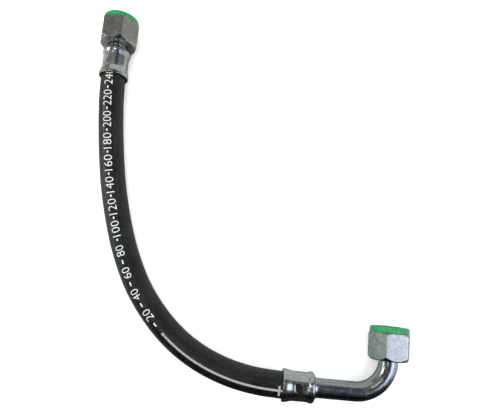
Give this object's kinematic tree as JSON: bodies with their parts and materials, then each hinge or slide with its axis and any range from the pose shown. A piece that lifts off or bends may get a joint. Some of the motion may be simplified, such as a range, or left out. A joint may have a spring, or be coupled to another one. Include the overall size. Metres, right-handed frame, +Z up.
{
  "type": "hydraulic hose assembly",
  "caption": "Curved rubber hydraulic hose with crimped end fittings: a straight swivel nut at one end, a 90 degree swivel elbow at the other, both ports closed by green plugs.",
  "frame": {"origin": "bottom centre of the whole assembly's box, on the surface that it lies on", "axes": "+Z up, +Y the way both ports face, +X from the straight end to the elbow end, along the elbow's tube"},
  "size_m": [0.3028, 0.3326, 0.0338],
  "materials": {
    "cover_rubber": "matt black",
    "liner_rubber": "smooth black",
    "braid_wire": "brass-coated drawn wire",
    "insert_steel": "zinc plated, turned",
    "ferrule_steel": "zinc plated, crimped",
    "tube_steel": "zinc plated, drawn",
    "nut_steel": "zinc plated, mottled",
    "braze_metal": "as brazed",
    "seal_rubber": "matt black",
    "plug_plastic": "satin green polyethylene"
  },
  "bodies": {
    "hose_assembly": {"hose_inner_tube": "liner_rubber", "hose_inner_braid": "braid_wire", "hose_insulating_layer": "liner_rubber", "hose_outer_braid": "braid_wire", "hose_cover": "cover_rubber", "straight_insert": "insert_steel", "straight_ferrule": "ferrule_steel", "straight_cone_seal": "seal_rubber", "elbow_insert": "insert_steel", "elbow_tube": "tube_steel", "elbow_cone_head": "insert_steel", "elbow_insert_braze": "braze_metal", "elbow_head_braze": "braze_metal", "elbow_ferrule": "ferrule_steel", "elbow_cone_seal": "seal_rubber"},
    "straight_nut": {"straight_nut": "nut_steel"},
    "straight_plug": {"straight_plug": "plug_plastic"},
    "elbow_nut": {"elbow_nut": "nut_steel"},
    "elbow_plug": {"elbow_plug": "plug_plastic"}
  },
  "joints": [
    {"name": "straight_nut_swivel", "type": "hinge", "parent": "hose_assembly", "child": "straight_nut", "pos_m": [-0.133, 0.15025, 0.0169], "axis": [0, 1, 0], "continuous": true},
    {"name": "straight_plug_pull", "type": "slide", "parent": "straight_nut", "child": "straight_plug", "axis": [0, 1, 0], "range_m": [0, 0.03]},
    {"name": "elbow_nut_swivel", "type": "hinge", "parent": "hose_assembly", "child": "elbow_nut", "pos_m": [0.133, -0.11385, 0.0169], "axis": [0, 1, 0], "continuous": true},
    {"name": "elbow_plug_pull", "type": "slide", "parent": "elbow_nut", "child": "elbow_plug", "axis": [0, 1, 0], "range_m": [0, 0.03]}
  ]
}
